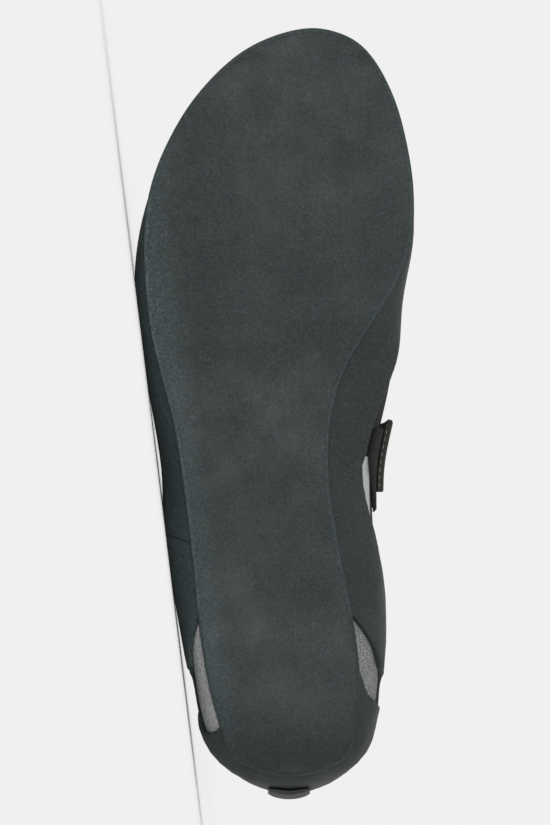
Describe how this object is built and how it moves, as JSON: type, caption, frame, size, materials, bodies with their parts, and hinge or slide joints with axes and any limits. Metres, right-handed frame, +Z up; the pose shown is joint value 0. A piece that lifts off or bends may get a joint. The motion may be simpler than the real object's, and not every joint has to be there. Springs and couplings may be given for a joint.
{
  "type": "climbing shoe",
  "caption": "Right climbing shoe with a downturned last, rubber sole and rands, open collar and throat with a tongue, and a strap over the instep, lying on its outer side.",
  "frame": {"origin": "middle of the bottom of the shoe's box, on the floor under its outer side", "axes": "+X from the toe towards the heel, -Y the way the sole faces, +Z up, towards the inner side of the foot"},
  "size_m": [0.2538, 0.095, 0.0957],
  "materials": {
    "sole_rubber": "matte cloudy dark grey-green rubber",
    "upper_suede": "grey synthetic suede",
    "lining": "brushed grey textile",
    "tongue_knit": "black padded knit",
    "strap_webbing": "brown-black woven webbing"
  },
  "bodies": {
    "root": {"outsole": "sole_rubber", "upper": "upper_suede", "insole": "lining", "tongue": "tongue_knit", "front_rand": "sole_rubber", "rear_rand": "sole_rubber", "heel_rubber": "sole_rubber", "toe_patch": "sole_rubber", "strap": "strap_webbing", "loop_patch": "tongue_knit", "collar_binding": "strap_webbing", "pull_loop": "strap_webbing"}
  },
  "joints": []
}
